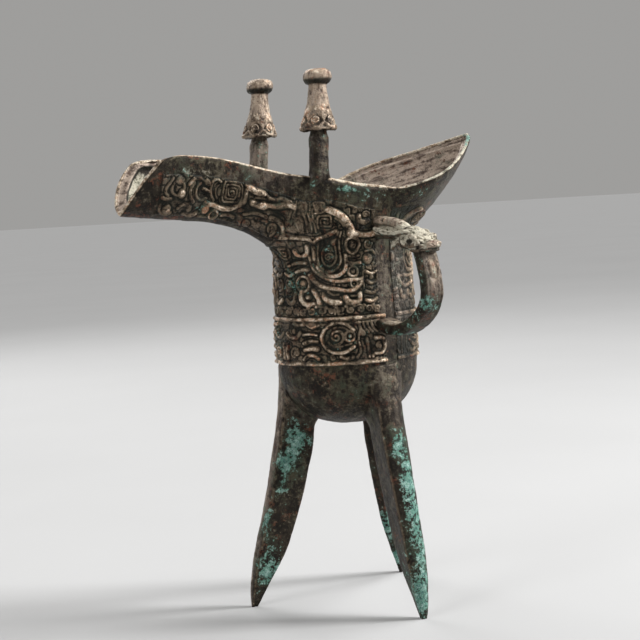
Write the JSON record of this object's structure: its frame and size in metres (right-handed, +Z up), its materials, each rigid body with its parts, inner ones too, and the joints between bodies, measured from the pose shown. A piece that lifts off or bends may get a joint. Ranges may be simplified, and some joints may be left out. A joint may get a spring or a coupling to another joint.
{
  "type": "bronze jue wine vessel",
  "caption": "Tripod bronze wine cup with an open pouring spout, a pointed tail, capped posts on the rim, a strap handle under an ox head, and cast friezes.",
  "frame": {"origin": "on the ground, midway between the outermost points along X and along Y", "axes": "+Z up; the pouring spout points to -X and the tail to +X; the strap handle points to -Y"},
  "size_m": [0.1644, 0.0977, 0.21],
  "materials": {
    "bronze_dark": "dark brown-black patina with an olive cast",
    "bronze_green": "dark patina with malachite and turquoise patches",
    "bronze_worn": "dark patina, rubbed reddish on the high points of the relief"
  },
  "bodies": {
    "root": {"cup_body": "bronze_dark", "spout": "bronze_dark", "tail": "bronze_dark", "upper_frieze": "bronze_worn", "lower_frieze": "bronze_worn", "spout_frieze_near": "bronze_worn", "spout_frieze_far": "bronze_worn", "post_near": "bronze_dark", "post_far": "bronze_dark", "cap_near": "bronze_worn", "cap_far": "bronze_worn", "handle_strap": "bronze_dark", "handle_ox_head": "bronze_worn", "leg_handle_side": "bronze_green", "leg_spout_side": "bronze_green", "leg_tail_side": "bronze_green"}
  },
  "joints": []
}
